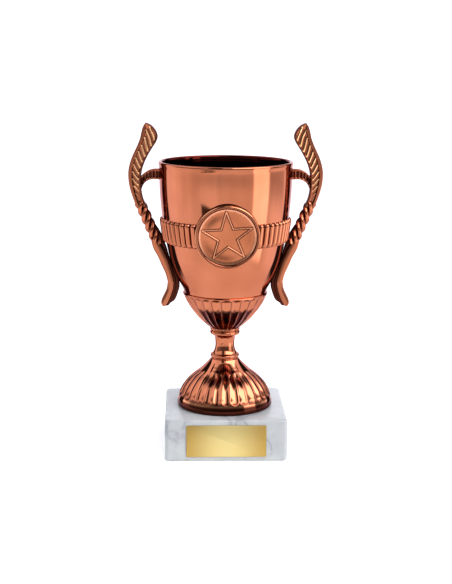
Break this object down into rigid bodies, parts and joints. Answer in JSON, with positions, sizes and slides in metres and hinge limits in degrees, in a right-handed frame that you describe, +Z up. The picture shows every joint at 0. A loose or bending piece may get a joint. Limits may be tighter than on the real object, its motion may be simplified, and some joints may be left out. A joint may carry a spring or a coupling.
{
  "type": "cup trophy",
  "caption": "Cup trophy with a fluted foot, reeded bowl, star medallion and rope-pattern side handles, standing on a square stone base with a blank plate.",
  "frame": {"origin": "centre of the underside of the stone base", "axes": "+Z up, -Y towards the front with the name plate and medallion, +X towards the right handle"},
  "size_m": [0.0956, 0.0684, 0.1628],
  "materials": {
    "stone": "honed pale grey-white marble with faint grey veins",
    "gold_plate": "satin gold anodised sheet, blank",
    "bronze_plated": "mirror-bright bronze metal film on moulded plastic",
    "bronze_satin": "satin bronze metal film on moulded plastic",
    "adhesive": "double-sided adhesive film",
    "steel": "zinc-plated steel"
  },
  "bodies": {
    "root": {"marble_base": "stone", "name_plate": "gold_plate", "plate_adhesive": "adhesive", "foot": "bronze_plated", "stem": "bronze_plated", "calyx": "bronze_plated", "bowl": "bronze_plated", "medallion_disc": "bronze_satin", "medallion_adhesive": "adhesive", "left_handle": "bronze_plated", "right_handle": "bronze_plated", "tie_bolt": "steel", "head_washer": "steel", "base_washer": "steel", "base_nut": "steel"}
  },
  "joints": []
}
